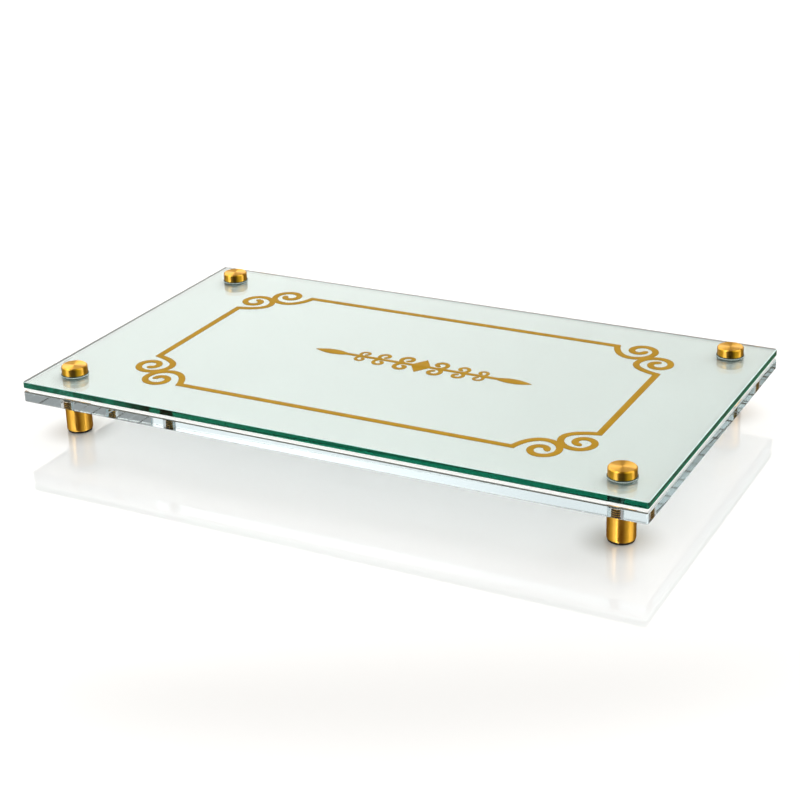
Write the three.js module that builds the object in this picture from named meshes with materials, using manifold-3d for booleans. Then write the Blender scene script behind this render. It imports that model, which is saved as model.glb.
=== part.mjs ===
// A serving tray for bread: a glass plate, a white sheet and a clear acrylic plate, stacked and
// clamped at their corners by four turned brass stand-offs that are also the tray's legs.
// A gold border with paired volutes and a gold scroll motif lie on the glass.
// Millimetres, +Z up, +X along the long side, origin at the centre of the footprint on the table.
import * as THREE from "three";
import { mergeVertices } from "three/addons/utils/BufferGeometryUtils.js";
import Module from "manifold-3d";

const wasm = await Module();
wasm.setup();

// The three sheets
const trayLength = 475;
const trayWidth = 275;
const cornerRadius = 1.5;
const glassThickness = 5;
const glassArris = 0.5;
const insertThickness = 2.5;
const insertSetback = 1.4; // how far the white sheet's edge stays behind the plates' edges
const acrylicThickness = 8;
const acrylicArris = 0.6;
const airFilm = 0.01; // film of air between stacked sheets

// The stand-offs
const standoffInset = 27; // from both edges of the tray to a stand-off's axis
const studDiameter = 10;
const studChamfer = 1;
const studClearance = 0.5; // round the stud where it passes through the sheets
const threadClearance = 0.3; // round the stud where it is screwed in
const leadIn = 0.5; // countersink at the mouth of a threaded bore
const capDiameter = 19;
const capHeight = 6;
const capCrown = 1.5; // solid metal over the cap's blind bore
const capChamfer = 0.75;
const capBaseChamfer = 0.25;
const washerDiameter = 20;
const washerThickness = 1.5;
const legDiameter = 19;
const legLength = 25;
const legFootRound = 1; // rounding of the leg's lower rim
const legTopChamfer = 0.25;
const legBoreDepth = 13;
const boreRelief = 1; // unused depth under the stud in the leg's bore
const padThickness = 1.5;
const padSetback = 0.75; // the pad's edge lies this far inside the leg's side

// The gold on the glass
const goldThickness = 0.25;
const goldStroke = 4.8;
const borderInsetX = 63.5; // from the tray's short edge to the line's centre
const borderInsetY = 41; // from the tray's long edge to the line's centre
const longKink = 44.6; // from the border's corner to where the long line turns into its volute
const shortKink = 40.8; // and the short line
const voluteAlong = 27.8; // from the border's corner to the axis of the long line's volute
const voluteDrop = 18; // from the long line to its volute's outer arc
const voluteRadius = 13.5; // outer arc, at the stroke's centre
const voluteShrink = 0.76; // each quarter turn's radius over the one before
const voluteQuarters = 5;
const voluteTail = 30; // degrees of one last, smaller arc at the eye
const voluteMerge = 2; // how far the two strokes of a pair run into each other
const armLean = 14; // degrees between the arm's start and the square to its line
const armHandle = 9; // length of the arm curve's handles

const ornamentLength = 174;
const ornamentAlong = 13.5; // from the tray's middle to the ornament's, along the tray
const ornamentAcross = 3.5; // and towards the back
const ornamentStroke = 3.4;
const lozengeLength = 16;
const lozengeHeight = 24;
const scrollRadius = 6.2; // outer arc of the first pair of scrolls
const scrollStart = 4; // from the lozenge to the first pair along the stem
const scrollStep = 18.5; // from the first pair to the second
const scrollTaper = 0.86; // size and step of each pair over the one before
const scrollPairs = 3;
const scrollQuarters = 4;
const leafLength = 30;
const leafHeight = 16;
const leafOverlap = 6; // how far the stem reaches into the leaf

// Facets
const roundSegments = 28;
const filletSteps = 2;
const arcStep = 15; // degrees of a drawn arc of the border for each point
const scrollArcStep = 22.5; // and of a smaller scroll
const armSteps = 6;

// Heights above the table
const legBase = padThickness;
const legTop = legBase + legLength;
const acrylicBase = legTop + washerThickness;
const insertBase = acrylicBase + acrylicThickness + airFilm;
const glassBase = insertBase + insertThickness + airFilm;
const glassTop = glassBase + glassThickness;
const capBase = glassTop + washerThickness;

const corners = [
  { name: "front_left", x: -1, y: -1 },
  { name: "front_right", x: 1, y: -1 },
  { name: "back_left", x: -1, y: 1 },
  { name: "back_right", x: 1, y: 1 },
];
const standoffX = trayLength / 2 - standoffInset;
const standoffY = trayWidth / 2 - standoffInset;

const brass = () => new THREE.MeshStandardMaterial({ color: 0xc9962f, roughness: 0.28, metalness: 1 });
const goldLeaf = () => new THREE.MeshStandardMaterial({ color: 0xb8872b, roughness: 0.4, metalness: 0.7 });
const rubber = () => new THREE.MeshStandardMaterial({ color: 0x161412, roughness: 0.8, metalness: 0 });
const whiteSheet = () => new THREE.MeshStandardMaterial({ color: 0xf2f4f1, roughness: 0.5, metalness: 0 });
const clear = (color, opacity) =>
  new THREE.MeshStandardMaterial({ color, roughness: 0.05, metalness: 0, transparent: true, opacity });

function named(name, geometry, material, z = 0) {
  const mesh = new THREE.Mesh(geometry, material);
  mesh.name = name;
  mesh.position.z = z;
  return mesh;
}

// Rectangle with rounded corners, centred on the origin, with a hole at each stand-off.
function sheetShape(length, width, radius, holeRadius) {
  const x = length / 2 - radius;
  const y = width / 2 - radius;
  const shape = new THREE.Shape();
  shape.absarc(x, y, radius, 0, Math.PI / 2, false);
  shape.absarc(-x, y, radius, Math.PI / 2, Math.PI, false);
  shape.absarc(-x, -y, radius, Math.PI, 1.5 * Math.PI, false);
  shape.absarc(x, -y, radius, 1.5 * Math.PI, 2 * Math.PI, false);
  for (const corner of corners) {
    const points = [];
    for (let i = 0; i < roundSegments; i += 1) {
      const angle = (-2 * Math.PI * i) / roundSegments;
      points.push(
        new THREE.Vector2(
          corner.x * standoffX + holeRadius * Math.cos(angle),
          corner.y * standoffY + holeRadius * Math.sin(angle),
        ),
      );
    }
    shape.holes.push(new THREE.Path(points));
  }
  return shape;
}

// A sheet from z = 0 up. The arris is a 45 degree chamfer on every edge, holes included.
function sheet(length, width, radius, thickness, arris) {
  const shape = sheetShape(length, width, radius, studDiameter / 2 + studClearance);
  const geometry = new THREE.ExtrudeGeometry(shape, {
    depth: thickness - 2 * arris,
    curveSegments: 3,
    bevelEnabled: arris > 0,
    bevelThickness: arris,
    bevelSize: arris,
    bevelOffset: -arris,
    bevelSegments: 1,
  });
  return geometry.translate(0, 0, arris);
}

// A solid of revolution about Z. The profile is a list of [radius, height], outside on its right.
function turned(profile) {
  const points = profile.map(([radius, height]) => new THREE.Vector2(radius, height));
  return new THREE.LatheGeometry(points, roundSegments).rotateX(Math.PI / 2);
}

function cap() {
  const bore = studDiameter / 2 + threadClearance;
  const rim = capDiameter / 2;
  const boreEnd = capHeight - capCrown;
  return turned([
    [0, boreEnd],
    [bore, boreEnd],
    [bore, leadIn],
    [bore + leadIn, 0],
    [rim - capBaseChamfer, 0],
    [rim, capBaseChamfer],
    [rim, capHeight - capChamfer],
    [rim - capChamfer, capHeight],
    [0, capHeight],
  ]);
}

function washer() {
  const bore = studDiameter / 2 + studClearance;
  const rim = washerDiameter / 2;
  return turned([
    [bore, 0],
    [rim, 0],
    [rim, washerThickness],
    [bore, washerThickness],
    [bore, 0],
  ]);
}

function leg() {
  const bore = studDiameter / 2 + threadClearance;
  const side = legDiameter / 2;
  const profile = [[0, 0]];
  for (let i = 0; i <= filletSteps; i += 1) {
    const angle = (Math.PI / 2) * (i / filletSteps);
    profile.push([
      side - legFootRound + legFootRound * Math.sin(angle),
      legFootRound - legFootRound * Math.cos(angle),
    ]);
  }
  profile.push(
    [side, legLength - legTopChamfer],
    [side - legTopChamfer, legLength],
    [bore + leadIn, legLength],
    [bore, legLength - leadIn],
    [bore, legLength - legBoreDepth],
    [0, legLength - legBoreDepth],
  );
  return turned(profile);
}

function footPad() {
  const rim = legDiameter / 2 - padSetback;
  return turned([
    [0, 0],
    [rim, 0],
    [rim, padThickness],
    [0, padThickness],
  ]);
}

// The stud fills the cap's bore to its end and stops short of the end of the leg's bore.
const studBase = legTop - legBoreDepth + boreRelief;
const studTop = capBase + capHeight - capCrown;

function stud() {
  const side = studDiameter / 2;
  const length = studTop - studBase;
  return turned([
    [0, 0],
    [side - studChamfer, 0],
    [side, studChamfer],
    [side, length - studChamfer],
    [side - studChamfer, length],
    [0, length],
  ]);
}

function standoff(corner) {
  const group = new THREE.Group();
  group.position.set(corner.x * standoffX, corner.y * standoffY, 0);
  group.add(
    named(`foot_pad_${corner.name}`, footPad(), rubber()),
    named(`leg_${corner.name}`, leg(), brass(), legBase),
    named(`leg_washer_${corner.name}`, washer(), clear(0xe9eeee, 0.45), legTop),
    named(`stud_${corner.name}`, stud(), brass(), studBase),
    named(`cap_washer_${corner.name}`, washer(), clear(0xdfe6e8, 0.45), glassTop),
    named(`cap_${corner.name}`, cap(), brass(), capBase),
  );
  return group;
}

const radians = (degrees) => (degrees * Math.PI) / 180;

// Points of a volute: quarter arcs, each tangent to the last and smaller by the same ratio.
// It starts at `start`, heading along +X, and turns to the left.
function volute(start, radius, quarters, step) {
  const points = [start.clone()];
  let { x, y } = start;
  let heading = 0;
  for (let quarter = 0; quarter <= quarters; quarter += 1) {
    const sweep = quarter < quarters ? 90 : voluteTail;
    const arc = radius * voluteShrink ** quarter;
    const centreX = x - arc * Math.sin(radians(heading));
    const centreY = y + arc * Math.cos(radians(heading));
    const steps = Math.ceil(sweep / step);
    for (let i = 1; i <= steps; i += 1) {
      const angle = radians(heading + (sweep * i) / steps);
      points.push(new THREE.Vector2(centreX + arc * Math.sin(angle), centreY - arc * Math.cos(angle)));
    }
    ({ x, y } = points.at(-1));
    heading += sweep;
  }
  return points;
}

// Outline of a stroke of one width along a run of points: mitred turns, a square start, a round end.
function strokeShape(path, width) {
  const left = [];
  const right = [];
  const direction = (from, to) => to.clone().sub(from).normalize();
  path.forEach((point, i) => {
    const before = direction(path[Math.max(i - 1, 0)], path[Math.max(i, 1)]);
    const last = path.length - 1;
    const after = direction(path[Math.min(i, last - 1)], path[Math.min(i + 1, last)]);
    const along = before.clone().add(after).normalize();
    const reach = width / 2 / along.dot(before);
    left.push(new THREE.Vector2(point.x - along.y * reach, point.y + along.x * reach));
    right.push(new THREE.Vector2(point.x + along.y * reach, point.y - along.x * reach));
  });
  const end = path.at(-1);
  const first = right.at(-1).clone().sub(end);
  const round = [];
  for (let angle = 2 * arcStep; angle < 180; angle += 2 * arcStep) {
    round.push(first.clone().rotateAround(new THREE.Vector2(), radians(angle)).add(end));
  }
  return new THREE.Shape([...right, ...round, ...left.reverse()]);
}

function solidOf(geometry) {
  const bare = geometry.clone().deleteAttribute("normal").deleteAttribute("uv");
  const merged = mergeVertices(bare);
  return new wasm.Manifold(
    new wasm.Mesh({
      numProp: 3,
      vertProperties: merged.getAttribute("position").array,
      triVerts: new Uint32Array(merged.index.array),
    }),
  );
}

function geometryOf(solid) {
  const mesh = solid.getMesh();
  const geometry = new THREE.BufferGeometry();
  geometry.setAttribute("position", new THREE.BufferAttribute(mesh.vertProperties, mesh.numProp));
  geometry.setIndex(new THREE.BufferAttribute(mesh.triVerts, 1));
  return geometry.toNonIndexed();
}

// Flat gold of one thickness: every shape is drawn in all its mirror images and all are joined.
function goldPlate(shapes, mirrors) {
  let joined = null;
  for (const shape of shapes) {
    for (const [flipX, flipY] of mirrors) {
      const points = shape.getPoints().map(({ x, y }) => new THREE.Vector2(flipX * x, flipY * y));
      const geometry = new THREE.ExtrudeGeometry(new THREE.Shape(points), {
        depth: goldThickness,
        bevelEnabled: false,
      });
      const solid = solidOf(geometry);
      joined = joined ? joined.add(solid) : solid;
    }
  }
  const geometry = geometryOf(joined);
  geometry.computeVertexNormals();
  return geometry;
}

const allQuadrants = [
  [1, 1],
  [-1, 1],
  [-1, -1],
  [1, -1],
];

// The curve from a kink to its volute's outer arc, followed by the volute.
function curl(kink, lowest) {
  const lean = radians(armLean);
  const arm = new THREE.CubicBezierCurve(
    kink,
    new THREE.Vector2(kink.x + armHandle * Math.sin(lean), kink.y - armHandle * Math.cos(lean)),
    new THREE.Vector2(lowest.x - armHandle, lowest.y),
    lowest,
  );
  const spiral = volute(lowest, voluteRadius, voluteQuarters, arcStep);
  return [...arm.getPoints(armSteps), ...spiral.slice(1)];
}

// One quarter of the border is a half of the long line with its volute and a half of the short
// line with the same volute mirrored in a diagonal, on which the outer arcs of the pair meet.
function border() {
  const cornerX = trayLength / 2 - borderInsetX;
  const cornerY = trayWidth / 2 - borderInsetY;
  const lowest = new THREE.Vector2(cornerX - voluteAlong, cornerY - voluteDrop);
  const toDiagonal = voluteRadius + (goldStroke - voluteMerge) / 2;
  const diagonal = lowest.x - lowest.y - voluteRadius + Math.SQRT2 * toDiagonal;
  const mirrored = ({ x, y }) => new THREE.Vector2(y + diagonal, x - diagonal);
  const longHalf = curl(new THREE.Vector2(cornerX - longKink, cornerY), lowest);
  const shortEnd = new THREE.Vector2(cornerX, cornerY - shortKink);
  const shortHalf = curl(mirrored(shortEnd), lowest).map(mirrored);
  longHalf.unshift(new THREE.Vector2(-goldStroke, cornerY));
  shortHalf.unshift(new THREE.Vector2(cornerX, -goldStroke));
  return goldPlate([strokeShape(longHalf, goldStroke), strokeShape(shortHalf, goldStroke)], allQuadrants);
}

// A lozenge with a stem each way along X. Pairs of scrolls grow outwards from the stem and curl
// back over it, each pair smaller than the last, and a leaf ends the stem.
function ornament() {
  const tip = ornamentLength / 2;
  const leafRoot = tip - leafLength;
  const shapes = [
    new THREE.Shape([
      new THREE.Vector2(lozengeLength / 2, 0),
      new THREE.Vector2(0, lozengeHeight / 2),
      new THREE.Vector2(-lozengeLength / 2, 0),
      new THREE.Vector2(0, -lozengeHeight / 2),
    ]),
  ];
  const stem = [new THREE.Vector2(0, 0), new THREE.Vector2(leafRoot + leafOverlap, 0)];
  shapes.push(strokeShape(stem, ornamentStroke));
  let root = lozengeLength / 2 + scrollStart;
  for (let pair = 0; pair < scrollPairs; pair += 1) {
    const size = scrollTaper ** pair;
    const start = new THREE.Vector2(root, 0);
    const scroll = volute(start, scrollRadius * size, scrollQuarters, scrollArcStep);
    shapes.push(strokeShape(scroll, ornamentStroke * size));
    root += scrollStep * size;
  }
  const leaf = new THREE.Shape();
  leaf.moveTo(tip, 0);
  leaf.quadraticCurveTo(leafRoot + leafLength / 2, leafHeight / 2, leafRoot, 0);
  leaf.quadraticCurveTo(leafRoot + leafLength / 2, -leafHeight / 2, tip, 0);
  shapes.push(leaf);
  return goldPlate(shapes, allQuadrants);
}

const motif = named("centre_ornament", ornament(), goldLeaf(), glassTop);
motif.position.x = ornamentAlong;
motif.position.y = ornamentAcross;

const tray = new THREE.Group();
tray.add(
  named(
    "acrylic_base",
    sheet(trayLength, trayWidth, cornerRadius, acrylicThickness, acrylicArris),
    clear(0xf3f8f8, 0.35),
    acrylicBase,
  ),
  named(
    "white_insert",
    sheet(
      trayLength - 2 * insertSetback,
      trayWidth - 2 * insertSetback,
      cornerRadius,
      insertThickness,
      0,
    ),
    whiteSheet(),
    insertBase,
  ),
  named(
    "glass_top",
    sheet(trayLength, trayWidth, cornerRadius, glassThickness, glassArris),
    clear(0x9fd3c0, 0.4),
    glassBase,
  ),
  named("gold_border", border(), goldLeaf(), glassTop),
  motif,
  ...corners.map(standoff),
);

export default tray;
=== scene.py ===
import math
import bmesh
import bpy
import numpy as np
from mathutils import Matrix, Vector
from mathutils.geometry import tessellate_polygon


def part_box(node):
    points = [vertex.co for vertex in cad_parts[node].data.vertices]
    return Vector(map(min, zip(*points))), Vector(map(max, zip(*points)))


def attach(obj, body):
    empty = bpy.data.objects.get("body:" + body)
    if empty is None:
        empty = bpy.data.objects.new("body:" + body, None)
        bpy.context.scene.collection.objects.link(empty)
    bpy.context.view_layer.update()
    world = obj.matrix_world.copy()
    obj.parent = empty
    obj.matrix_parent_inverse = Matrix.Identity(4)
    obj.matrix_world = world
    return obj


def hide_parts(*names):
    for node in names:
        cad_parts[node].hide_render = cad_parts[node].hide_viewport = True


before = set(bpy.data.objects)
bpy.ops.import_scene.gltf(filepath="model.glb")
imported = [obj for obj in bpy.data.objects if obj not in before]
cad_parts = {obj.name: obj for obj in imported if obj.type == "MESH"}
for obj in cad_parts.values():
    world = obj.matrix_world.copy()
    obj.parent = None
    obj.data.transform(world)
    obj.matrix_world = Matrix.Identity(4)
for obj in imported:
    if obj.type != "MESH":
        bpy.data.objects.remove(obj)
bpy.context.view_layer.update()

# A bread tray: glass over a white sheet over clear acrylic, held at the corners by turned brass
# stand-offs, with gold scrollwork on the glass. Metres in the scene, millimetres in the tables.
mm = 0.001
corners = {"front_left": (-1, -1), "front_right": (1, -1), "back_left": (-1, 1), "back_right": (1, 1)}

def level(node, end):
    # height in millimetres of a CAD node's lowest (0) or highest (1) point
    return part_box(node)[end].z / mm


shot = {
    "lens": 81.45,
    "azimuth": 28.346,  # degrees to the right of the tray's front
    "elevation": 21.298,
    "roll": -1.856,
    "distance": 1313.505,
    "aside": (18.191, -18.193),
    "shift": (0.02875, -0.075),  # the upright lines hardly converge, so the lens was shifted down
}


def placeCamera():
    # three unit vectors from the two angles, turned by the roll, are the camera's own axes
    azimuth, elevation, roll = (math.radians(shot[key]) for key in ("azimuth", "elevation", "roll"))
    back = Vector((
        math.sin(azimuth) * math.cos(elevation),
        -math.cos(azimuth) * math.cos(elevation),
        math.sin(elevation),
    ))
    aside = Vector((math.cos(azimuth), math.sin(azimuth), 0))
    upright = back.cross(aside)
    right = aside * math.cos(roll) + upright * math.sin(roll)
    up = upright * math.cos(roll) - aside * math.sin(roll)
    shiftRight, shiftUp = shot["aside"]
    place = Vector((0, 0, level("glass_top", 1))) + back * shot["distance"] - right * shiftRight - up * shiftUp
    lens = bpy.data.cameras.new("camera")
    lens.lens = shot["lens"]
    lens.sensor_width = 36
    lens.shift_x, lens.shift_y = shot["shift"]
    lens.clip_start = 0.01
    camera = bpy.data.objects.new("camera", lens)
    turn = Matrix((right, up, back)).transposed().to_4x4()
    camera.matrix_world = Matrix.Translation(place * mm) @ turn
    bpy.context.scene.collection.objects.link(camera)
    bpy.context.scene.camera = camera


placeCamera()
print("camera placed")


# Mesh tools

def meshPiece(name, points, faces, sharpAngle=35, merge=True, flatFrom=None):
    # points in metres; doubles at seams and poles are merged and the faces turned outwards
    mesh = bpy.data.meshes.new(name)
    mesh.from_pydata(np.asarray(points).tolist(), [], faces)
    shell = bmesh.new()
    shell.from_mesh(mesh)
    if merge:
        bmesh.ops.remove_doubles(shell, verts=shell.verts, dist=1e-7)
        bmesh.ops.dissolve_degenerate(shell, edges=shell.edges, dist=1e-8)
    bmesh.ops.recalc_face_normals(shell, faces=shell.faces)
    shell.to_mesh(mesh)
    shell.free()
    mesh.shade_smooth()
    mesh.set_sharp_from_angle(angle=math.radians(sharpAngle))
    if flatFrom is not None:
        mesh.polygons.foreach_set("use_smooth", np.arange(len(mesh.polygons)) < flatFrom)
    piece = bpy.data.objects.new(name, mesh)
    bpy.context.scene.collection.objects.link(piece)
    return piece


def gridFaces(rows, columns, wrapRows=False, wrapColumns=True, first=0):
    # quads between neighbouring points of a row-major grid
    index = np.arange(rows * columns).reshape(rows, columns) + first
    if wrapRows:
        index = np.vstack([index, index[:1]])
    if wrapColumns:
        index = np.hstack([index, index[:, :1]])
    quads = np.stack([index[:-1, :-1], index[:-1, 1:], index[1:, 1:], index[1:, :-1]], axis=-1)
    return quads.reshape(-1, 4).tolist()


def roundedProfile(corners, steps=5):
    # a polyline (a, b, radius): every corner with a radius becomes an arc tangent to its two sides,
    # with a point a little before and after it, so that the sides stay flat
    line = []
    for i, (a, b, radius) in enumerate(corners):
        here = np.array([a, b], float)
        if radius <= 0 or i in (0, len(corners) - 1):
            line.append(here)
            continue
        before = np.array(corners[i - 1][:2]) - here
        after = np.array(corners[i + 1][:2]) - here
        before, after = before / np.linalg.norm(before), after / np.linalg.norm(after)
        half = math.acos(np.clip(before @ after, -1, 1)) / 2
        middle = here + (before + after) / np.linalg.norm(before + after) * radius / math.sin(half)
        start, end = here + before * radius / math.tan(half), here + after * radius / math.tan(half)
        t = np.linspace(0, 1, steps + 1)[:, None]
        arc = (start - middle) * (1 - t) + (end - middle) * t
        reach = min(0.2 * radius, 0.05)
        line.append(start + before * reach)
        line.extend(middle + arc / np.linalg.norm(arc, axis=1)[:, None] * radius)
        line.append(end + after * reach)
    return np.array(line)


def turnedPiece(name, centre, profile, base, segments=96, sharpAngle=35, closed=False):
    # revolves (radius, height) about a vertical axis: x = r cos a, y = r sin a, z = base + height
    profile = np.asarray(profile)
    angle = np.linspace(0, 2 * math.pi, segments, endpoint=False)
    x = profile[:, :1] * np.cos(angle) + centre[0]
    y = profile[:, :1] * np.sin(angle) + centre[1]
    z = np.repeat(profile[:, 1:] + base, segments, axis=1)
    points = np.stack([x, y, z], axis=-1).reshape(-1, 3) * mm
    return meshPiece(name, points, gridFaces(len(profile), segments, wrapRows=closed), sharpAngle)


def withNode(piece, node):
    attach(piece, "root")
    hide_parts(node)
    return piece


def axisOf(corner):
    low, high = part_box("leg_" + corner)
    return (low.x + high.x) / 2 / mm, (low.y + high.y) / 2 / mm


# Shader tools

def addNode(tree, kind, *values, named=None, **settings):
    node = tree.nodes.new("ShaderNode" + kind)
    for key, value in settings.items():
        setattr(node, key, value)
    for key, value in list(enumerate(values)) + list((named or {}).items()):
        if isinstance(value, bpy.types.NodeSocket):
            tree.links.new(value, node.inputs[key])
        elif value is not None:
            node.inputs[key].default_value = value
    return node


def maths(tree, operation, *values, clamp=False):
    return addNode(tree, "Math", *values, operation=operation, use_clamp=clamp).outputs[0]


def spread(tree, value, low, high, fromLow=0.0, fromHigh=1.0):
    # value from one range to another, with a smooth start and end
    node = addNode(tree, "MapRange", value, fromLow, fromHigh, low, high, interpolation_type="SMOOTHSTEP")
    return node.outputs[0]


def rampOf(tree, value, stops):
    # stops are (place from 0 to 1, colour or grey)
    ramp = addNode(tree, "ValToRGB", value)
    elements = ramp.color_ramp.elements
    while len(elements) < len(stops):
        elements.new(0.5)
    for element, (place, colour) in zip(elements, stops):
        element.position = place
        colour = (colour,) * 3 if isinstance(colour, (int, float)) else colour
        element.color = (*colour, 1)
    return ramp.outputs[0]


def newMaterial(name):
    material = bpy.data.materials.new(name)
    material.use_nodes = True
    tree = material.node_tree
    tree.nodes.clear()
    output = tree.nodes.new("ShaderNodeOutputMaterial")
    return material, tree, output


def finish(piece, material):
    piece.data.materials.clear()
    piece.data.materials.append(material)
    return piece


def noise(tree, place, scale, detail=3.0, roughness=0.5):
    return addNode(tree, "TexNoise", named={
        "Vector": place, "Scale": scale, "Detail": detail, "Roughness": roughness,
    }).outputs["Fac"]


def objectPlace(tree, scale=(1, 1, 1)):
    place = addNode(tree, "TexCoord").outputs["Object"]
    return addNode(tree, "Mapping", named={"Vector": place, "Scale": scale}).outputs[0]


# Clear sheets and the white sheet

glassLook = {"ior": 1.52, "absorb": (0.32, 0.765, 0.69), "density": 26.0}
acrylicLook = {"ior": 1.49, "absorb": (0.55, 0.86, 0.92), "density": 1.2}
scratchLook = {"scale": 900, "roughness": 0.02}
washerLook = {
    "ior": 1.46,
    # rim: the painted shade at the washer's top and bottom
    "rim": (0.05, 0.09, 0.08),
    "colour": (0.80, 0.92, 0.89),
    "roughness": 0.25,
    "clear": 0.3,
}
# Ground glass: its pale and deep tones, and how far it is clear. The two short walls shine less, and "topShade"
# is how much a painted shade darkens a wall towards its top
groundLook = {
    "arris": {"pale": (0.84, 1.0, 0.98), "deep": (0.74, 0.97, 0.93), "roughness": 0.5, "clear": 0.0},
    "hole": {"pale": (0.30, 0.85, 0.74), "deep": (0.0, 0.10, 0.06), "roughness": 0.25, "clear": 0.45},
    # left: the left wall and its arrises are painted near black, a painted shade; the right wall is the same
    # glass in paler green
    "left": {
        "pale": (0.02, 0.08, 0.07), "deep": (0.0, 0.03, 0.03), "roughness": 0.4, "clear": 0.0, "shine": 0.05,
    },
    "side": {
        "pale": (0.012, 0.25, 0.165), "deep": (0.0, 0.03, 0.025), "roughness": 0.14, "clear": 0.2,
        "shine": 0.2, "topShade": 0.13,
    },
    "rim": {"pale": (0.80, 0.84, 0.84), "deep": (0.70, 0.75, 0.75), "roughness": 0.4, "clear": 0.2},
    # seam: the acrylic's front and left upper arrises are painted dark grey, a painted shadow of the gap under
    # the white sheet
    "seam": {"pale": (0.16, 0.16, 0.15), "deep": (0.10, 0.10, 0.10), "roughness": 0.4, "clear": 0.5},
}
# Painted light on the glass's front edge: the pale and deep colours of its glow
frontGlowLook = {
    "pale": (0.003, 0.14, 0.08),
    "deep": (0.0, 0.05, 0.03),
    "reach": (-0.17, -0.12),  # metres along the tray between which the painted glow ends
}


def fillWith(tree, output, look):
    # the sheet's own colour, deeper the longer the way through it
    inside = addNode(tree, "VolumeAbsorption", (*look["absorb"], 1), look["density"])
    tree.links.new(inside.outputs[0], output.inputs["Volume"])


def clearMaterial(name, look):
    material, tree, output = newMaterial(name)
    marks = noise(tree, objectPlace(tree), scratchLook["scale"], 2.0)
    shader = addNode(tree, "BsdfPrincipled", named={
        "Base Color": (1, 1, 1, 1),
        "Roughness": spread(tree, marks, 0.0, scratchLook["roughness"], 0.55, 0.8),
        "IOR": look["ior"],
        "Transmission Weight": 1.0,
    })
    tree.links.new(shader.outputs[0], output.inputs["Surface"])
    fillWith(tree, output, look)
    return material


glassMaterial = clearMaterial("floatGlass", glassLook)
acrylicMaterial = clearMaterial("clearAcrylic", acrylicLook)


def heightIn(tree, place, node):
    # 0 at the foot of a CAD node and 1 at its top
    height = addNode(tree, "SeparateXYZ", place).outputs[2]
    return addNode(tree, "MapRange", height, level(node, 0) * mm, level(node, 1) * mm, 0.0, 1.0).outputs[0]


def washerMaterial(name, node):
    # a clear ring whose top and bottom rims are painted dark, a painted shade where it meets the parts above and
    # below
    material, tree, output = newMaterial(name)
    place = objectPlace(tree)
    across = heightIn(tree, place, node)
    rim, colour, roughness = (washerLook[key] for key in ("rim", "colour", "roughness"))
    shader = addNode(tree, "BsdfPrincipled", named={
        "Base Color": rampOf(tree, across, [(0.15, rim), (0.32, colour), (0.68, colour), (0.85, rim)]),
        "Roughness": spread(tree, noise(tree, place, 900, 2.0), roughness, roughness + 0.1, 0.3, 0.7),
        "IOR": washerLook["ior"],
        "Transmission Weight": washerLook["clear"],
    })
    tree.links.new(shader.outputs[0], output.inputs["Surface"])
    return material


washerMaterials = {
    part: washerMaterial(part + "Clear", part + "_washer_front_left") for part in ("leg", "cap")
}


def groundMaterial(part, direction):
    # ground glass: streaks left by the wheel, running across the edge, and a painted shade that darkens it
    # towards the top
    look = groundLook[part]
    topShade = look.get("topShade", 0.0)
    material, tree, output = newMaterial("ground" + part.capitalize())
    streaks = noise(tree, objectPlace(tree, direction), 55, 4.0, 0.6)
    height = heightIn(tree, objectPlace(tree), "glass_top")
    streaks = maths(tree, "ADD", streaks, spread(tree, height, topShade, -topShade, 0.3, 0.9))
    shader = addNode(tree, "BsdfPrincipled", named={
        "Base Color": rampOf(tree, streaks, [(0.3, look["deep"]), (0.7, look["pale"])]),
        "Roughness": look["roughness"],
        "IOR": glassLook["ior"],
        "Specular IOR Level": look.get("shine", 0.5),
        "Transmission Weight": look["clear"],
    })
    tree.links.new(shader.outputs[0], output.inputs["Surface"])
    fillWith(tree, output, glassLook)
    return material


def frontGlowMaterial():
    # the polished front edge: towards its left end it is painted with a glow, an emission standing in for the
    # light led through the sheet
    material, tree, output = newMaterial("polishedFrontGlow")
    place = objectPlace(tree)
    glowStreaks = noise(tree, objectPlace(tree, (2.2, 1, 3)), 60, 2.0, 0.7)
    along = addNode(tree, "SeparateXYZ", place).outputs[0]
    shader = addNode(tree, "BsdfPrincipled", named={
        "Base Color": (1, 1, 1, 1),
        "Roughness": 0.0,
        "IOR": glassLook["ior"],
        "Transmission Weight": 1.0,
        "Emission Color": rampOf(tree, glowStreaks, [(0.35, frontGlowLook["deep"]), (0.65, frontGlowLook["pale"])]),
        "Emission Strength": spread(tree, along, 1.0, 0.0, *frontGlowLook["reach"]),
    })
    tree.links.new(shader.outputs[0], output.inputs["Surface"])
    fillWith(tree, output, glassLook)
    return material


polishedFrontGlow = frontGlowMaterial()
groundArris = groundMaterial("arris", (1, 1, 6))
groundSide = groundMaterial("side", (1, 1, 14))
groundHole = groundMaterial("hole", (4, 4, 2))
# painted shade on the glass's left wall and its arrises
groundLeftShade = groundMaterial("left", (1, 1, 14))
groundSeamShade = groundMaterial("seam", (1, 1, 1))
groundRim = groundMaterial("rim", (1, 1, 1))


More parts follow.
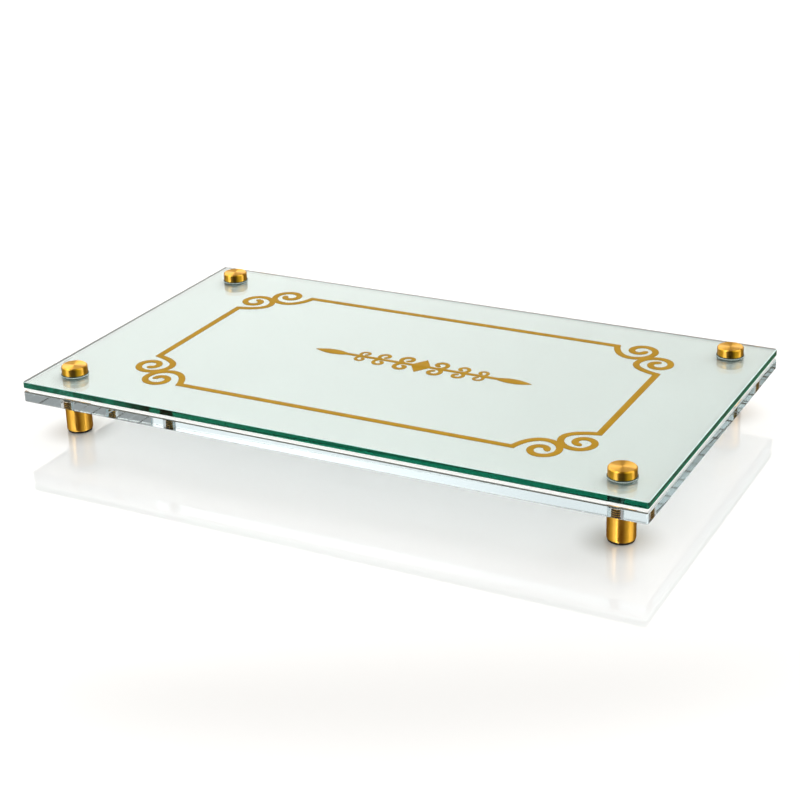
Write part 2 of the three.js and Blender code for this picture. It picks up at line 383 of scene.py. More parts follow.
def whiteMaterial(name, glow=0.0):
    material, tree, output = newMaterial(name)
    place = objectPlace(tree)
    cloud = noise(tree, place, 9, 4.0)
    colour = rampOf(tree, cloud, [(0.3, (0.93, 0.925, 0.89)), (0.7, (0.96, 0.955, 0.92))])
    # painted reflection: in mirror images the upper half is painted dark, as if the brass mirrored a darker room
    middle = (level("white_insert", 0) + level("white_insert", 1)) / 2 * mm
    upper = maths(tree, "GREATER_THAN", addNode(tree, "SeparateXYZ", place).outputs[2], middle)
    mirrored = maths(tree, "GREATER_THAN", addNode(tree, "LightPath").outputs["Glossy Depth"], 0.5)
    mirrored = maths(tree, "MULTIPLY", mirrored, upper)
    colour = addNode(tree, "VectorMath", colour, operation="SCALE", named={
        "Scale": spread(tree, mirrored, 1.0, 0.01),
    }).outputs[0]
    shader = addNode(tree, "BsdfPrincipled", named={
        "Base Color": colour,
        "Roughness": 0.55,
        # painted light where glow is set: the sheet itself glows white
        "Emission Color": (1, 1, 1, 1),
        "Emission Strength": glow,
    })
    grain = addNode(tree, "Bump", 0.08, 0.00002, named={"Height": noise(tree, place, 2600, 2.0)})
    tree.links.new(grain.outputs[0], shader.inputs["Normal"])
    tree.links.new(shader.outputs[0], output.inputs["Surface"])
    return material


whiteSheet = whiteMaterial("whiteSheet")
glowingWhiteEdge = whiteMaterial("glowingWhiteEdge", 0.28)  # painted light: the edge glows by emission, standing in for the light that the clear sheets lead to it

sheets = {
    "glass_top": {"arris": 0.36, "soft": 0.06, "material": glassMaterial, "slot": "glass"},
    "white_insert": {"arris": 0.12, "soft": 0.05, "material": whiteSheet, "slot": "white_sheet"},
    "acrylic_base": {"arris": 0.6, "soft": 0.10, "material": acrylicMaterial, "slot": "acrylic"},
}
sheetForm = {
    "cornerRadius": 1.5,
    "cornerSteps": 8,
    "holeRadius": 5.5,
    "holeSegments": 96,
    "support": 0.05,
}


def sheetLoops(node):
    # outline and holes in plan: four quarter arcs joined by straight sides, and a circle per stand-off
    low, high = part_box(node)
    halfX, halfY, radius = high.x / mm, high.y / mm, sheetForm["cornerRadius"]
    turn = np.linspace(0, math.pi / 2, sheetForm["cornerSteps"] + 1)
    outline = []
    for quarter, (sideX, sideY) in enumerate(((1, 1), (-1, 1), (-1, -1), (1, -1))):
        angle = turn + quarter * math.pi / 2
        middle = np.array([sideX * (halfX - radius), sideY * (halfY - radius)])
        arc = middle + radius * np.stack([np.cos(angle), np.sin(angle)], axis=1)
        ahead = np.array([-math.sin(angle[-1]), math.cos(angle[-1])]) * sheetForm["support"]
        behind = np.array([math.sin(angle[0]), -math.cos(angle[0])]) * sheetForm["support"]
        outline.append(np.vstack([arc[:1] + behind, arc, arc[-1:] + ahead]))
    outline = np.vstack(outline)
    around = np.linspace(0, -2 * math.pi, sheetForm["holeSegments"], endpoint=False)
    ring = sheetForm["holeRadius"] * np.stack([np.cos(around), np.sin(around)], axis=1)
    return [outline] + [ring + np.array(axisOf(corner)) for corner in corners]


def makeSheet(node, spec):
    # a wall profile carried round every loop; the two faces are filled between the loops
    bottom, top = level(node, 0), level(node, 1)
    loops = sheetLoops(node)
    arris = spec["arris"]
    wall = roundedProfile([
        (arris * 1.5, 0, 0), (arris, 0, spec["soft"]), (0, arris, spec["soft"]),
        (0, top - bottom - arris, spec["soft"]), (arris, top - bottom, spec["soft"]),
        (arris * 1.5, top - bottom, 0),
    ], 3)
    points, faces, first = [], [], 0
    for loop in loops:
        along = np.roll(loop, -1, axis=0) - np.roll(loop, 1, axis=0)
        inward = np.stack([-along[:, 1], along[:, 0]], axis=1)
        inward /= np.linalg.norm(inward, axis=1)[:, None]
        flat = loop[None] + wall[:, :1, None] * inward[None]
        height = np.broadcast_to(wall[:, 1:, None] + bottom, (*flat.shape[:2], 1))
        points.append(np.concatenate([flat, height], axis=2).reshape(-1, 3))
        faces += gridFaces(len(wall), len(loop), first=first)
        first += len(wall) * len(loop)
    allPoints, walls = np.vstack(points), len(faces)
    for row, flip in ((0, True), (len(wall) - 1, False)):
        starts = np.cumsum([0] + [len(wall) * len(loop) for loop in loops[:-1]])
        rings = [start + row * len(loop) + np.arange(len(loop)) for start, loop in zip(starts, loops)]
        index = np.concatenate(rings)
        edges = [[Vector(point) for point in allPoints[ring]] for ring in rings]
        for triangle in tessellate_polygon(edges):
            faces.append([int(index[corner]) for corner in (triangle[::-1] if flip else triangle)])
    piece = meshPiece(node + "_sheet", allPoints * mm, faces, 60, merge=False, flatFrom=walls)
    finish(withNode(piece, node), spec["material"])
    dressEdges(piece, node, walls, (len(wall) - 1) * len(loops[0]))
    return piece


edgeMaterials = {
    "glass_top": (groundArris, groundSide, groundHole, groundLeftShade, polishedFrontGlow),
    "white_insert": (glowingWhiteEdge,),
    "acrylic_base": (groundSeamShade, groundRim),
}


def dressEdges(piece, node, walls, outlineWalls):
    # the glass's outer arrises, its two short walls and its drilled holes are ground, not polished, and so are
    # the acrylic's upper arrises;
    # the glass's left wall and the acrylic's front and left upper arrises carry painted shade, and the glass's
    # front a painted glow; faces up to outlineWalls are the outline's and up to walls the holes'
    for material in edgeMaterials[node]:
        piece.data.materials.append(material)
    count = len(piece.data.polygons)
    normals = np.empty(count * 3, np.float32)
    piece.data.polygons.foreach_get("normal", normals)
    x, y, z = normals.reshape(-1, 3).T
    left, right, front, upper = x < -0.5, x > 0.5, y < -0.5, z > 0
    outline = np.arange(count) < outlineWalls
    hole = ~outline & (np.arange(count) < walls)
    slope = outline & (np.abs(z) > 0.05) & (np.abs(z) < 0.95)
    if node == "acrylic_base":
        index = np.select([slope & upper & (front | left), slope & upper & right], [1, 2], 0)
    elif node == "white_insert":
        index = np.where(outline, 1, 0)
    else:
        side = outline & ~slope & (left | right)
        cases = [(slope | side) & left, slope, side, hole, outline & front]
        index = np.select(cases, [4, 1, 2, 3, 5], 0)
    piece.data.polygons.foreach_set("material_index", index.astype(np.int32))


for node, spec in sheets.items():
    # light passes down through the stack, so the two lower sheets hardly darken the floor
    makeSheet(node, spec).visible_diffuse = node == "glass_top"
print("sheets made")


# Brass

brassLook = {
    "colour": (0.92, 0.53, 0.085),
    "worn": (0.87, 0.49, 0.07),
    "roughness": 0.34,
    "anisotropy": 1.0,
    "ringScale": 2600,
    "ringDepth": 0.06,
}


def brassMaterial(name, look):
    # turned metal: fine rings round the axis draw each highlight out across them
    material, tree, output = newMaterial(name)
    place = objectPlace(tree)
    cloud = noise(tree, place, 160, 4.0)
    across = addNode(tree, "SeparateXYZ", place).outputs[2]
    rings = addNode(tree, "TexNoise", noise_dimensions="1D", named={
        "W": across, "Scale": look["ringScale"], "Detail": 2.0,
    }).outputs["Fac"]
    shader = addNode(tree, "BsdfPrincipled", named={
        "Base Color": rampOf(tree, cloud, [(0.35, look["worn"]), (0.65, look["colour"])]),
        "Metallic": 1.0,
        "Roughness": spread(tree, rings, look["roughness"] - 0.03, look["roughness"] + 0.05, 0.3, 0.7),
        "Anisotropic": look["anisotropy"],
        "Anisotropic Rotation": 0.25,
        "Tangent": addNode(tree, "Tangent", direction_type="RADIAL", axis="Z").outputs[0],
    })
    relief = addNode(tree, "Bump", look["ringDepth"], 0.00002, named={"Height": rings})
    tree.links.new(relief.outputs[0], shader.inputs["Normal"])
    tree.links.new(shader.outputs[0], output.inputs["Surface"])
    return material


turnedBrass = brassMaterial("turnedBrass", brassLook)
# root: the painted shade in the thread's grooves
threadLook = {"crest": (0.92, 0.50, 0.07), "root": (0.03, 0.012, 0.002), "roughness": 0.22}


def threadMaterial():
    # the attribute runs from 0 at the thread's crest to 1 at its root; the roots are painted near black, a
    # painted shade in the thread's grooves
    material, tree, output = newMaterial("threadBrass")
    depth = addNode(tree, "Attribute", attribute_name="depth").outputs["Fac"]
    grain = noise(tree, objectPlace(tree), 900, 3.0)
    shader = addNode(tree, "BsdfPrincipled", named={
        "Base Color": rampOf(tree, depth, [(0.15, threadLook["crest"]), (0.6, threadLook["root"])]),
        "Metallic": 1.0,
        "Roughness": spread(tree, grain, threadLook["roughness"], threadLook["roughness"] + 0.15, 0.3, 0.7),
    })
    tree.links.new(shader.outputs[0], output.inputs["Surface"])
    return material


threadBrass = threadMaterial()


def rubberMaterial():
    material, tree, output = newMaterial("footRubber")
    place = objectPlace(tree)
    speck = noise(tree, place, 1400, 3.0)
    shader = addNode(tree, "BsdfPrincipled", named={
        "Base Color": rampOf(tree, speck, [(0.3, (0.006, 0.005, 0.005)), (0.7, (0.016, 0.014, 0.013))]),
        "Roughness": 0.7,
    })
    relief = addNode(tree, "Bump", 0.3, 0.00003, named={"Height": speck})
    tree.links.new(relief.outputs[0], shader.inputs["Normal"])
    tree.links.new(shader.outputs[0], output.inputs["Surface"])
    return material


footRubber = rubberMaterial()

cap = {
    "radius": 9.5, "chamfer": 0.75, "edge": 0.18, "base": 0.25, "bore": 5.3, "crown": 1.5, "countersink": 0.5,
}
leg = {"radius": 9.5, "foot": 1.0, "top": 0.3, "bore": 5.3, "boreDepth": 13, "countersink": 0.5}
stud = {"radius": 5, "chamfer": 1.0, "pitch": 1.5, "depth": 0.5, "perTurn": 48, "perPitch": 12}
washer = {"radius": 10, "bore": 5.5, "edge": 0.3, "gap": 0.02}
pad = {"radius": 8.75, "edge": 0.3}


def makeStud(name, centre, bottom, top):
    # r = R less a triangle wave of (z / pitch - angle / 360), held inside a cone at either end
    rows = int((top - bottom) / stud["pitch"] * stud["perPitch"]) + 1
    z = np.linspace(0, top - bottom, rows)[:, None]
    angle = np.linspace(0, 2 * math.pi, stud["perTurn"], endpoint=False)[None, :]
    phase = (z / stud["pitch"] - angle / (2 * math.pi)) % 1
    radius = stud["radius"] - stud["depth"] * np.clip(1.25 * (1 - np.abs(2 * phase - 1)), 0.125, 1.125)
    end = np.minimum(z, top - bottom - z)
    radius = np.minimum(radius, stud["radius"] - stud["chamfer"] + end)
    radius = np.vstack([np.zeros((1, stud["perTurn"])), radius, np.zeros((1, stud["perTurn"]))])
    z = np.vstack([z[:1], z, z[-1:]])
    x, y = centre[0] + radius * np.cos(angle), centre[1] + radius * np.sin(angle)
    points = np.stack([x, y, np.broadcast_to(z + bottom, radius.shape)], axis=-1).reshape(-1, 3)
    piece = meshPiece(name, points * mm, gridFaces(rows + 2, stud["perTurn"]), 50)
    # how deep each point lies in the thread, for the material
    count = len(piece.data.vertices)
    placed = np.empty(count * 3, np.float32)
    piece.data.vertices.foreach_get("co", placed)
    placed = placed.reshape(-1, 3)[:, :2] / mm - np.array(centre)
    depth = (stud["radius"] - np.linalg.norm(placed, axis=1)) / stud["depth"]
    written = piece.data.attributes.new("depth", "FLOAT", "POINT")
    written.data.foreach_set("value", np.clip(depth, 0, 1).astype(np.float32))
    return piece


def makeStandoff(corner):
    centre = axisOf(corner)
    node = "cap_" + corner
    base, height = level(node, 0), level(node, 1) - level(node, 0)
    profile = roundedProfile([
        (0, height - cap["crown"], 0), (cap["bore"], height - cap["crown"], 0),
        (cap["bore"], cap["countersink"], 0),
        (cap["bore"] + cap["countersink"], 0, 0), (cap["radius"] - cap["base"], 0, 0),
        (cap["radius"], cap["base"], 0.1), (cap["radius"], height - cap["chamfer"], cap["edge"]),
        (cap["radius"] - cap["chamfer"], height, cap["edge"]), (0, height, 0),
    ])
    finish(withNode(turnedPiece(node + "_turned", centre, profile, base, 128, 30), node), turnedBrass)

    node = "leg_" + corner
    base, height = level(node, 0), level(node, 1) - level(node, 0)
    floor = height - leg["boreDepth"]
    profile = roundedProfile([
        (0, 0, 0), (leg["radius"], 0, leg["foot"]), (leg["radius"], height, leg["top"]),
        (leg["bore"] + leg["countersink"], height, 0), (leg["bore"], height - leg["countersink"], 0),
        (leg["bore"], floor, 0), (0, floor, 0),
    ], 8)
    finish(withNode(turnedPiece(node + "_turned", centre, profile, base, 128, 30), node), turnedBrass)

    node = "stud_" + corner
    rod = makeStud(node + "_threaded", centre, level(node, 0), level(node, 1))
    finish(withNode(rod, node), threadBrass)

    for part in ("leg", "cap"):
        node = part + "_washer_" + corner
        low, high = level(node, 0) + washer["gap"], level(node, 1) - washer["gap"]
        profile = roundedProfile([
            ((washer["bore"] + washer["radius"]) / 2, 0, 0), (washer["radius"], 0, washer["edge"]),
            (washer["radius"], high - low, washer["edge"]), (washer["bore"], high - low, washer["edge"]),
            (washer["bore"], 0, washer["edge"]), ((washer["bore"] + washer["radius"]) / 2, 0, 0),
        ])
        ring = turnedPiece(node + "_ring", centre, profile, low, 96, 40)
        finish(withNode(ring, node), washerMaterials[part])

    node = "foot_pad_" + corner
    height = level(node, 1) - level(node, 0)
    profile = roundedProfile([
        (0, 0, 0), (pad["radius"], 0, pad["edge"]), (pad["radius"], height, 0.1), (0, height, 0),
    ])
    disc = turnedPiece(node + "_disc", centre, profile, level(node, 0), 96)
    finish(withNode(disc, node), footRubber)


for corner in corners:
    makeStandoff(corner)
print("stand-offs made")


# Gold on the glass

gold = {"lift": 0.01, "shoulder": 0.05, "stepDegrees": 6}
border = {
    "stroke": 4.8,
    "cornerX": 174,  # where the lines would cross
    "cornerY": 96.5,
    "longKink": 44.6,
    "shortKink": 40.8,
    "voluteAlong": 27.8,
    "voluteDrop": 18,
    "voluteRadius": 13.5,
    "shrink": 0.76,
    "quarters": 5,
    "tail": 30,
    "merge": 2,
    "armLean": 14,
    "armHandle": 9,
    "armSteps": 24,
}
ornament = {
    "length": 174,
    "stroke": 3.4,
    "lozenge": (16, 24),
    "scrollRadius": 6.2,
    "scrollStart": 4,
    "scrollStep": 18.5,
    "taper": 0.86,
    "pairs": 3,
    "leaf": (30, 8),
    "overlap": 6,
}


def volute(start, radius, quarters):
    # quarter arcs, each tangent to the last and smaller by one ratio, and a short tail
    point, heading, runs = np.array(start, float), 0.0, [np.array([start], float)]
    for quarter in range(quarters + 1):
        sweep = 90.0 if quarter < quarters else border["tail"]
        arc = radius * border["shrink"] ** quarter
        turn = math.radians(heading)
        middle = point + arc * np.array([-math.sin(turn), math.cos(turn)])
        angle = np.radians(heading + np.linspace(0, sweep, int(sweep / gold["stepDegrees"]) + 1)[1:])
        run = middle + arc * np.stack([np.sin(angle), -np.cos(angle)], axis=1)
        runs.append(run)
        point, heading = run[-1], heading + sweep
    return np.vstack(runs)


def armCurve(kink, lowest):
    # cubic curve that leaves the kink at a lean and meets the volute level
    lean, handle = math.radians(border["armLean"]), border["armHandle"]
    a, d = np.array(kink, float), np.array(lowest, float)
    b = a + handle * np.array([math.sin(lean), -math.cos(lean)])
    c = d - np.array([handle, 0])
    t = np.linspace(0, 1, border["armSteps"] + 1)[:, None]
    return a * (1 - t) ** 3 + 3 * b * t * (1 - t) ** 2 + 3 * c * t * t * (1 - t) + d * t ** 3


def ribbon(name, path, halfWidth, base, thickness):
    # a flat strip with soft shoulders: path + normal * width across it, mitred where the path turns
    path = np.asarray(path)
    step = np.diff(path, axis=0)
    step /= np.linalg.norm(step, axis=1)[:, None]
    before, after = np.vstack([step[:1], step]), np.vstack([step, step[-1:]])
    along = before + after
    along /= np.linalg.norm(along, axis=1)[:, None]
    reach = 1 / np.sum(along * before, axis=1)
    across = np.stack([-along[:, 1], along[:, 0]], axis=1) * (reach * halfWidth)[:, None]
    shoulder = gold["shoulder"]
    side = np.array([-1, -1, -1, -1, 1, 1, 1, 1.0])
    inset = np.array([0, 0, 0.3, 1, 1, 0.3, 0, 0.0]) * shoulder
    height = np.array([0, thickness - shoulder, thickness - 0.3 * shoulder, thickness] * 2)
    height[4:] = height[:4][::-1]
    width = np.maximum(halfWidth, 1e-6)
    share = side[None, :] * np.maximum(1 - inset[None, :] / np.maximum(width, shoulder)[:, None], 0)
    flat = path[:, None, :] + across[:, None, :] * share[:, :, None]
    lift = np.broadcast_to(height + base, flat.shape[:2])[:, :, None]
    points = np.concatenate([flat, lift], axis=2).reshape(-1, 3) * mm
    rows = len(path)
    faces = gridFaces(rows, 8)
    faces.append(list(range(8)))
    faces.append(list(range(rows * 8 - 1, rows * 8 - 9, -1)))
    return meshPiece(name, points, faces, 30)


def roundEnds(path, half, start=True, end=True):
    # half width along a path, drawn in to a round end over the last half width
    length = np.concatenate([[0], np.cumsum(np.linalg.norm(np.diff(path, axis=0), axis=1))])
    width = np.full(len(path), float(half))
    for wanted, left in ((start, length), (end, length[-1] - length)):
        if wanted:
            near = np.clip(1 - left / half, 0, 1)
            width = np.minimum(width, half * np.sqrt(np.maximum(1 - near ** 2, 0.0004)))
    return width


def refineEnd(path, half, count=8):
    # extra points in the last half width of a path, so that its round end is round
    length = np.concatenate([[0], np.cumsum(np.linalg.norm(np.diff(path, axis=0), axis=1))])
    last = length[-1] - half * (1 - np.sin(np.linspace(0, math.pi / 2, count)))
    wanted = np.union1d(length, last)
    return np.stack([np.interp(wanted, length, path[:, 0]), np.interp(wanted, length, path[:, 1])], axis=1)


def unite(name, pieces):
    # one solid of many that overlap, by exact boolean union
    whole = pieces[0]
    for other in pieces[1:]:
        cut = whole.modifiers.new("join", "BOOLEAN")
        cut.operation, cut.solver, cut.object = "UNION", "EXACT", other
        joined = bpy.data.meshes.new_from_object(whole.evaluated_get(bpy.context.evaluated_depsgraph_get()))
        whole.modifiers.clear()
        whole.data = joined
        bpy.data.objects.remove(other)
    whole.name = name
    whole.data.shade_smooth()
    whole.data.set_sharp_from_angle(angle=math.radians(30))
    return whole


def makeBorder():
    # half a line with its volute, mirrored end to end; the short lines' volutes are the long
    # lines' ones mirrored in the diagonal on which each pair meets
    base = level("gold_border", 0) + gold["lift"]
    thickness = level("gold_border", 1) - base
    half = border["stroke"] / 2
    cornerX, cornerY = border["cornerX"], border["cornerY"]
    lowest = np.array([cornerX - border["voluteAlong"], cornerY - border["voluteDrop"]])
    toDiagonal = border["voluteRadius"] + half - border["merge"] / 2
    diagonal = lowest[0] - lowest[1] - border["voluteRadius"] + math.sqrt(2) * toDiagonal
    spiral = volute(lowest, border["voluteRadius"], border["quarters"])
    shortKink = (cornerY - border["shortKink"] + diagonal, cornerX - diagonal)
    longHalf = np.vstack([[0, cornerY], armCurve((cornerX - border["longKink"], cornerY), lowest), spiral[1:]])
    shortCurl = np.vstack([armCurve(shortKink, lowest), spiral[1:]])
    mirrored = np.stack([shortCurl[:, 1] + diagonal, shortCurl[:, 0] - diagonal], axis=1)
    shortHalf = np.vstack([[cornerX, 0], mirrored])
    longHalf, shortHalf = refineEnd(longHalf, half), refineEnd(shortHalf, half)
    longLine = np.vstack([(longHalf * (-1, 1))[:0:-1], longHalf])
    shortLine = np.vstack([(shortHalf * (1, -1))[:0:-1], shortHalf])
    pieces = []
    for i, line in enumerate((longLine, longLine * (1, -1), shortLine, shortLine * (-1, 1))):
        pieces.append(ribbon(f"line{i}", line, roundEnds(line, half), base, thickness))
    return unite("gold_border_scrolls", pieces)


def makeOrnament():
    # a lozenge, a stem each way, pairs of scrolls that shrink along it, and a pointed leaf at each end;
    # each piece lies a hair lower than the one before, so that no two faces coincide
    base = level("centre_ornament", 0) + gold["lift"]
    thickness = level("centre_ornament", 1) - base
    low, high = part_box("centre_ornament")
    middle = np.array([low.x + high.x, low.y + high.y]) / 2 / mm
    pieces = []

    def lay(path, halfWidth):
        rank = 0.003 * len(pieces)
        name = f"stroke{len(pieces)}"
        pieces.append(ribbon(name, path + middle, halfWidth, base + rank, thickness - 2 * rank))

    tip, (leafLength, leafHalf) = ornament["length"] / 2, ornament["leaf"]
    halfLong, halfHigh = ornament["lozenge"][0] / 2, ornament["lozenge"][1] / 2
    reach = tip - leafLength + ornament["overlap"]
    x = np.linspace(-reach, reach, 3)
    lay(np.stack([x, 0 * x], axis=1), np.full(3, ornament["stroke"] / 2))
    x = np.array([-halfLong, 0, halfLong])
    lay(np.stack([x, 0 * x], axis=1), np.array([0.02, halfHigh, 0.02]))
    t = np.linspace(0, 1, 25)
    blade = np.stack([tip - leafLength * (1 - t), 0 * t], axis=1)
    bladeWidth = np.maximum(2 * t * (1 - t) * leafHalf, 0.02)
    for sideX in (1, -1):
        lay(blade * (sideX, 1), bladeWidth)
    root = halfLong + ornament["scrollStart"]
    for pair in range(ornament["pairs"]):
        size = ornament["taper"] ** pair
        half = ornament["stroke"] / 2 * size
        scroll = refineEnd(volute((root, 0), ornament["scrollRadius"] * size, 4), half)
        width = roundEnds(scroll, half, start=False)
        for sideX, sideY in ((1, 1), (1, -1), (-1, 1), (-1, -1)):
            lay(scroll * (sideX, sideY), width)
        root += ornament["scrollStep"] * size
    return unite("centre_ornament_scrolls", pieces)


goldLook = {"colour": (0.43, 0.242, 0.013), "deep": (0.36, 0.197, 0.009), "roughness": 0.48}


def goldMaterial():
    material, tree, output = newMaterial("goldPrint")
    place = objectPlace(tree)
    cloud = noise(tree, place, 70, 5.0, 0.6)
    fleck = noise(tree, place, 2200, 2.0)
    shader = addNode(tree, "BsdfPrincipled", named={
        "Base Color": rampOf(tree, cloud, [(0.3, goldLook["deep"]), (0.7, goldLook["colour"])]),
        "Metallic": 0.10,
        "Specular IOR Level": 0.10,
        "Specular Tint": (1, 0.55, 0.05, 1),
        "Roughness": spread(tree, fleck, goldLook["roughness"] - 0.06, goldLook["roughness"] + 0.08, 0.3, 0.7),
    })
    relief = addNode(tree, "Bump", 0.12, 0.00002, named={"Height": fleck})
    tree.links.new(relief.outputs[0], shader.inputs["Normal"])
    tree.links.new(shader.outputs[0], output.inputs["Surface"])
    return material


goldPrint = goldMaterial()
for node, make in (("gold_border", makeBorder), ("centre_ornament", makeOrnament)):
    piece = finish(withNode(make(), node), goldPrint)
    # the print is thin and lit evenly, so it leaves no shadow on the white sheet
    piece.visible_transmission = False
    piece.visible_diffuse = False
print("gold made")


# Studio

floorLook = {
    "halfSize": 6.0,
    "glow": (0.24, 0.20),  # beside the tray and round it
    "glowReach": (0.20, 0.30),  # metres from the tray's middle between which the one becomes the other
    "farGlow": 0.50,  # what the distance adds
    "farReach": (0.37, 0.60),
    "footShade": (0.008, 0.034),  # metres from a leg's axis between which the glow begins; closer in, a painted contact shadow
    "colour": 0.62,
    "plain": 0.8,
    "roughness": 0.04,
    "ior": 1.85,
}
# What the studio shows in reflections and through the edges: (degrees round the tray from the
# camera's side, positive to its right, brightness)
around = {
    "base": [
        (-180, 0.15), (-150, 0.15), (-136, 0.16), (-120, 0.20), (-110, 0.30), (-97, 0.52), (-84, 0.50),
        (-68, 0.36), (-58, 0.08), (-45, 0.04), (-37, 0.16), (-28, 0.24), (-15, 0.23), (0, 0.20), (8, 0.22),
        (16, 0.28), (24, 0.37), (30, 0.44), (44, 0.40), (60, 0.34), (78, 0.36), (88, 0.38), (98, 0.40),
        (110, 0.32), (122, 0.18), (145, 0.15), (180, 0.15),
    ],
    "bands": [
        (-180, 0), (-60, 0), (-55, 14.0), (-46, 14.0), (-41, 0), (66, 0), (72, 9.0), (79, 9.0), (84, 0),
        (180, 0),
    ],
    "upper": [
        (-180, 0), (-118, 0), (-108, 0.3), (-92, 1.0), (-80, 0.7), (-66, 3.6), (-51, 4.0), (-43, 0.2),
        (-36, 0), (8, 0), (16, 0.22), (32, 0.6), (42, 1.0), (64, 1.1), (74, 3.2), (84, 3.2), (91, 0.3),
        (110, 0.1), (120, 0), (180, 0),
    ],
    "back": [
        (-180, 0.25), (-150, 0.22), (-112, 0.12), (-80, 0.16), (-45, 0.04), (-30, 0.01), (20, 0.01),
        (60, 0.10), (80, 0.20), (110, 0.22), (180, 0.25),
    ],
    "window": [
        (-180, 1.55), (-166, 1.6), (-150, 1.1), (-125, 0.8), (-108, 0), (108, 0), (125, 0.6), (150, 0.9),
        (168, 1.2), (180, 1.55),
    ],
    "through": [
        (-180, 0.85), (-176, 1.02), (-168, 1.02), (-155, 0.65), (-105, 0.62), (-80, 0.68), (-50, 0.66),
        (0, 0.45), (100, 0.36), (120, 0.34), (145, 0.37), (158, 0.58), (168, 0.66), (175, 0.68),
        (180, 0.85),
    ],
}
# A ring's dim parts are tinted, as by wood and brass in the room: colour, brightness up to which the
# tint is whole, brightness from which there is none
roomTint = ((1.0, 0.52, 0.0), 0.06, 0.65)
ringTint = {"base": roomTint, "back": roomTint, "upper": ((1.0, 1.0, 0.15), 1.0, 3.5)}
studioForm = {
    "front": 27.6,  # degrees to the right of the tray's front, from where the camera stands
    "ringScale": 16.0,  # over every brightness in a ring
    "panelAngle": -139,
    "panelHeight": 43,
    "panelSize": 20,
    "panel": 2.2,
    "keyAngle": 132,  # a broad lamp behind the tray and to its right
    "keyHeight": 42,
    "keySize": 30,
    "key": 3.5,  # over the brightness all round
    # sines of heights between which a part of the studio starts or ends
    "back": (-0.20, -0.10),
    "upper": (-0.16, -0.08),
    "bands": (-0.68, -0.60),
    "window": (0.24, 0.30, 0.48, 0.54),
    "steep": (0.56, 0.66),
    "throughUpper": 1.35,
    "throughSteep": 0.40,  # seen by rays that leave the sheets at a steep angle, by way of an arris
    "plain": 0.71,  # brightness all round for diffuse light
    "plainThrough": 1.00,  # and through the clear sheets
}


def makeFloor():
    half = floorLook["halfSize"]
    points = np.array([(-half, -half, 0), (half, -half, 0), (half, half, 0), (-half, half, 0)])
    mesh = bpy.data.meshes.new("floor")
    mesh.from_pydata(points.tolist(), [], [(0, 1, 2, 3)])
    floor = bpy.data.objects.new("floor", mesh)
    bpy.context.scene.collection.objects.link(floor)
    material, tree, output = newMaterial("paleFloor")
    path = addNode(tree, "LightPath")
    seen = path.outputs["Is Camera Ray"]
    tone = spread(tree, seen, floorLook["plain"], floorLook["colour"])
    place = addNode(tree, "TexCoord").outputs["Object"]
    distance = addNode(tree, "VectorMath", place, operation="LENGTH").outputs["Value"]
    glow = spread(tree, distance, *floorLook["glow"], *floorLook["glowReach"])
    glow = maths(tree, "ADD", glow, spread(tree, distance, 0.0, floorLook["farGlow"], *floorLook["farReach"]))
    # painted shadow: no glow close to a foot, so the floor there is darker, a painted contact shadow; the four
    # feet mirror each other, so one distance serves all
    footX, footY = (abs(value) * mm for value in axisOf("front_left"))
    folded = addNode(tree, "VectorMath", place, operation="ABSOLUTE").outputs[0]
    fromFoot = addNode(tree, "VectorMath", folded, (footX, footY, 0), operation="DISTANCE")
    lit = spread(tree, fromFoot.outputs["Value"], 0.0, 1.0, *floorLook["footShade"])
    glow = maths(tree, "MULTIPLY", glow, lit)
    shader = addNode(tree, "BsdfPrincipled", named={
        "Base Color": tone,
        "Roughness": floorLook["roughness"],
        "IOR": floorLook["ior"],
        "Emission Color": (1, 1, 1, 1),
        "Emission Strength": maths(tree, "MULTIPLY", seen, glow),
    })
    tree.links.new(shader.outputs[0], output.inputs["Surface"])
    finish(floor, material)
    floor.visible_glossy = False
    floor.visible_transmission = False


def pick(tree, factor, a, b):
    # a where the factor is 0, b where it is 1
    node = addNode(tree, "Mix", data_type="RGBA")
    for place, value in ((0, factor), (6, a), (7, b)):
        if isinstance(value, bpy.types.NodeSocket):
            tree.links.new(value, node.inputs[place])
        elif isinstance(value, tuple):
            node.inputs[place].default_value = (*value, 1)
        else:
            node.inputs[place].default_value = value if place == 0 else (value, value, value, 1)
    return node.outputs[2]


def plus(tree, a, b):
    return addNode(tree, "VectorMath", a, b, operation="ADD").outputs[0]


def times(tree, a, factor):
    node = addNode(tree, "VectorMath", a, operation="SCALE")
    if isinstance(factor, bpy.types.NodeSocket):
        tree.links.new(factor, node.inputs["Scale"])
    else:
        node.inputs["Scale"].default_value = factor
    return node.outputs[0]


def ringOf(tree, share, name):
    # a ramp round the tray, held in 0 to 1 by the scale and brought back after it
    scale = studioForm["ringScale"]
    tint, low, high = ringTint.get(name, ((1, 1, 1), 0, 1))
    stops = []
    for angle, value in around[name]:
        white = min(max((value - low) / (high - low), 0), 1)
        colour = tuple(value / scale * (part + (1 - part) * white) for part in tint)
        stops.append(((angle + 180) / 360, colour))
    return times(tree, rampOf(tree, share, stops), scale)


def lampOf(tree, direction, name):
    # a soft round patch of the sky: brightness by the cosine of the angle from its middle
    angle, rise = math.radians(studioForm[name + "Angle"]), math.radians(studioForm[name + "Height"])
    toSide, toFront = math.sin(angle) * math.cos(rise), math.cos(angle) * math.cos(rise)
    azimuth = math.radians(studioForm["front"])
    middle = (
        toSide * math.cos(azimuth) + toFront * math.sin(azimuth),
        toSide * math.sin(azimuth) - toFront * math.cos(azimuth),
        math.sin(rise),
    )
    facing = addNode(tree, "VectorMath", direction, middle, operation="DOT_PRODUCT").outputs["Value"]
    size = math.radians(studioForm[name + "Size"])
    return spread(tree, facing, 0.0, studioForm[name], math.cos(size * 1.3), math.cos(size * 0.7))


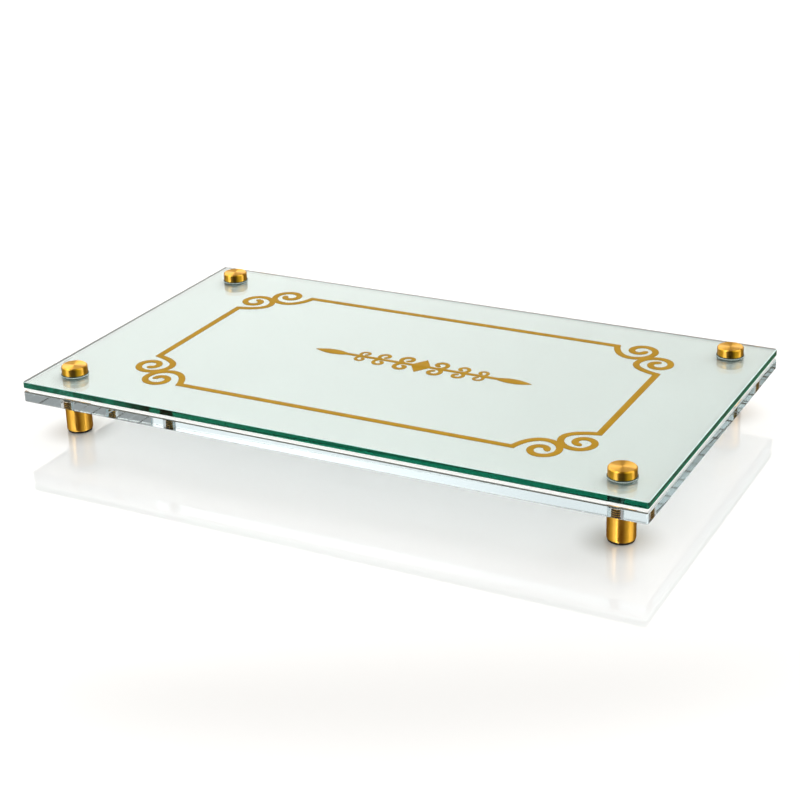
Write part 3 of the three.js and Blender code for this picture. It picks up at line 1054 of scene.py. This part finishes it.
def makeWorld():
    world = bpy.data.worlds.new("studio")
    bpy.context.scene.world = world
    world.use_nodes = True
    tree = world.node_tree
    tree.nodes.clear()
    direction = addNode(tree, "TexCoord").outputs["Generated"]
    azimuth = math.radians(studioForm["front"])
    toSide, toFront = (math.cos(azimuth), math.sin(azimuth), 0), (math.sin(azimuth), -math.cos(azimuth), 0)
    side, front = (
        addNode(tree, "VectorMath", direction, axis, operation="DOT_PRODUCT").outputs["Value"]
        for axis in (toSide, toFront)
    )
    share = maths(tree, "MULTIPLY_ADD", maths(tree, "ARCTAN2", side, front), 1 / (2 * math.pi), 0.5)
    height = addNode(tree, "SeparateXYZ", direction).outputs[2]
    above = spread(tree, height, 0.0, 1.0, *studioForm["back"])
    steep = spread(tree, maths(tree, "ABSOLUTE", height), 0.0, 1.0, *studioForm["steep"])
    panel, key = lampOf(tree, direction, "panel"), lampOf(tree, direction, "key")
    bands = times(tree, ringOf(tree, share, "bands"), spread(tree, height, 1.0, 0.0, *studioForm["bands"]))
    low = plus(tree, ringOf(tree, share, "base"), bands)
    first, second, third, fourth = studioForm["window"]
    opened, closed = spread(tree, height, 0.0, 1.0, first, second), spread(tree, height, 1.0, 0.0, third, fourth)
    window = times(tree, ringOf(tree, share, "window"), maths(tree, "MULTIPLY", opened, closed))
    high = plus(tree, ringOf(tree, share, "back"), times(tree, (1.0, 1.0, 1.0), panel))
    shine = pick(tree, above, low, plus(tree, high, window))
    upper = times(tree, ringOf(tree, share, "upper"), spread(tree, height, 0.0, 1.0, *studioForm["upper"]))
    shine = plus(tree, shine, upper)
    path = addNode(tree, "LightPath")
    brighter = spread(tree, above, 1.0, studioForm["throughUpper"])
    through = times(tree, ringOf(tree, share, "through"), brighter)
    through = pick(tree, steep, through, studioForm["throughSteep"])
    shine = pick(tree, path.outputs["Is Transmission Ray"], shine, through)
    afterDiffuse = maths(tree, "GREATER_THAN", path.outputs["Diffuse Depth"], 0.5)
    afterSheet = maths(tree, "GREATER_THAN", path.outputs["Transmission Depth"], 0.5)
    lit = spread(tree, afterSheet, studioForm["plain"], studioForm["plainThrough"])
    lit = maths(tree, "MULTIPLY", lit, maths(tree, "ADD", key, 1.0))
    shine = pick(tree, afterDiffuse, shine, lit)
    shine = pick(tree, path.outputs["Is Camera Ray"], shine, 1.0)
    background = addNode(tree, "Background", named={"Color": shine, "Strength": 1.0})
    output = addNode(tree, "OutputWorld")
    tree.links.new(background.outputs[0], output.inputs["Surface"])


makeFloor()
makeWorld()
scene = bpy.context.scene
scene.view_settings.view_transform = "Standard"
scene.cycles.max_bounces = 64
scene.cycles.transmission_bounces = 64
scene.cycles.glossy_bounces = 64
print("studio made")
